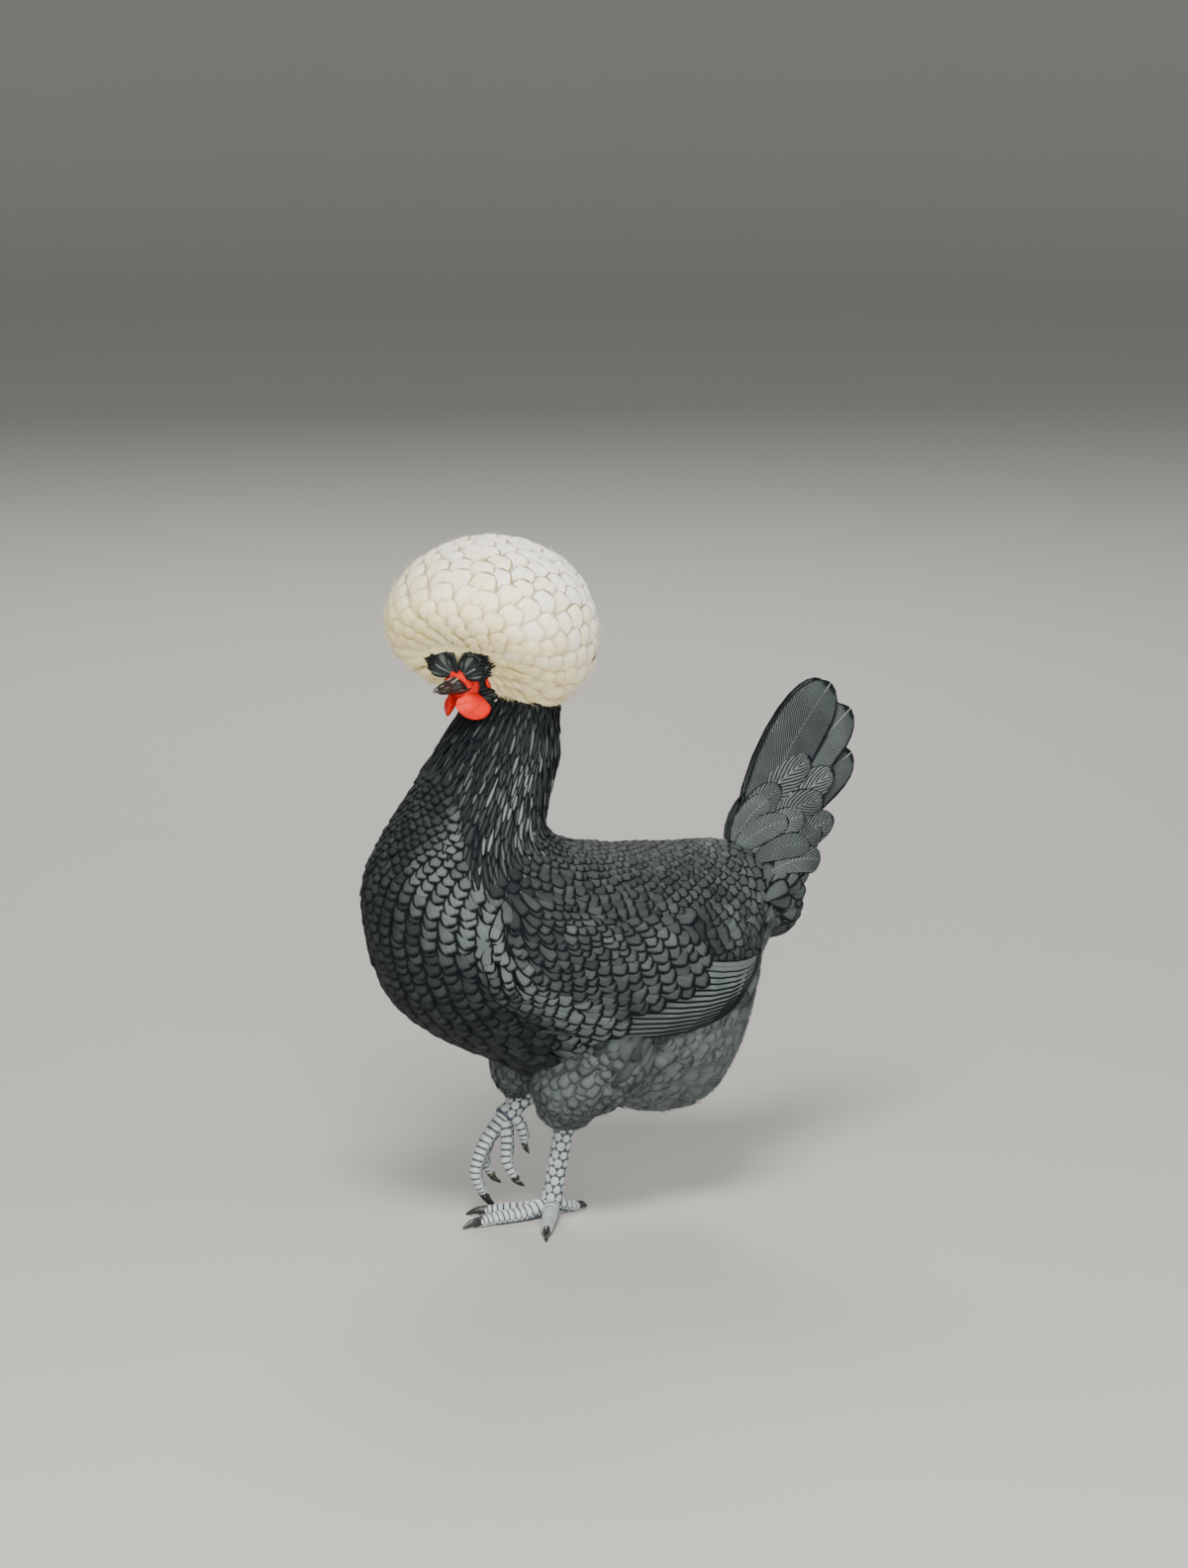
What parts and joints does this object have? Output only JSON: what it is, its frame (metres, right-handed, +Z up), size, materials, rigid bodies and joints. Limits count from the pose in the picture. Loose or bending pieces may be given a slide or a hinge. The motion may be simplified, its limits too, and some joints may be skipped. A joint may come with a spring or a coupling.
{
  "type": "white-crested black polish hen",
  "caption": "Still, life-size hen with black plumage, a round white crest, a small comb and wattles, and slate legs, standing on one foot with the other raised.",
  "frame": {"origin": "on the floor, under the middle of the hen's bounding box", "axes": "the hen heads along -X, her left side faces -Y, and +Z is up"},
  "size_m": [0.3324, 0.1688, 0.4202],
  "materials": {
    "black_plumage": "soft sheen",
    "white_crest": "matt",
    "red_skin": "satin",
    "white_lobe": "matt",
    "dark_horn": "satin",
    "slate_scales": "satin",
    "red_brown_eye": "glossy"
  },
  "bodies": {
    "root": {"torso": "black_plumage", "neck": "black_plumage", "tuft_left": "black_plumage", "tuft_right": "black_plumage", "wing_left": "black_plumage", "wing_right": "black_plumage", "tail": "black_plumage", "thigh_left": "black_plumage", "thigh_right": "black_plumage", "crest": "white_crest", "head": "red_skin", "comb": "red_skin", "wattle_left": "red_skin", "wattle_right": "red_skin", "earlobe_left": "white_lobe", "earlobe_right": "white_lobe", "bill_upper": "dark_horn", "bill_lower": "dark_horn", "claw_left_1": "dark_horn", "claw_left_2": "dark_horn", "claw_left_3": "dark_horn", "claw_left_4": "dark_horn", "claw_right_1": "dark_horn", "claw_right_2": "dark_horn", "claw_right_3": "dark_horn", "claw_right_4": "dark_horn", "shank_left": "slate_scales", "shank_right": "slate_scales", "toe_left_1": "slate_scales", "toe_left_2": "slate_scales", "toe_left_3": "slate_scales", "toe_left_4": "slate_scales", "toe_right_1": "slate_scales", "toe_right_2": "slate_scales", "toe_right_3": "slate_scales", "toe_right_4": "slate_scales", "eye_left": "red_brown_eye", "eye_right": "red_brown_eye"}
  },
  "joints": []
}
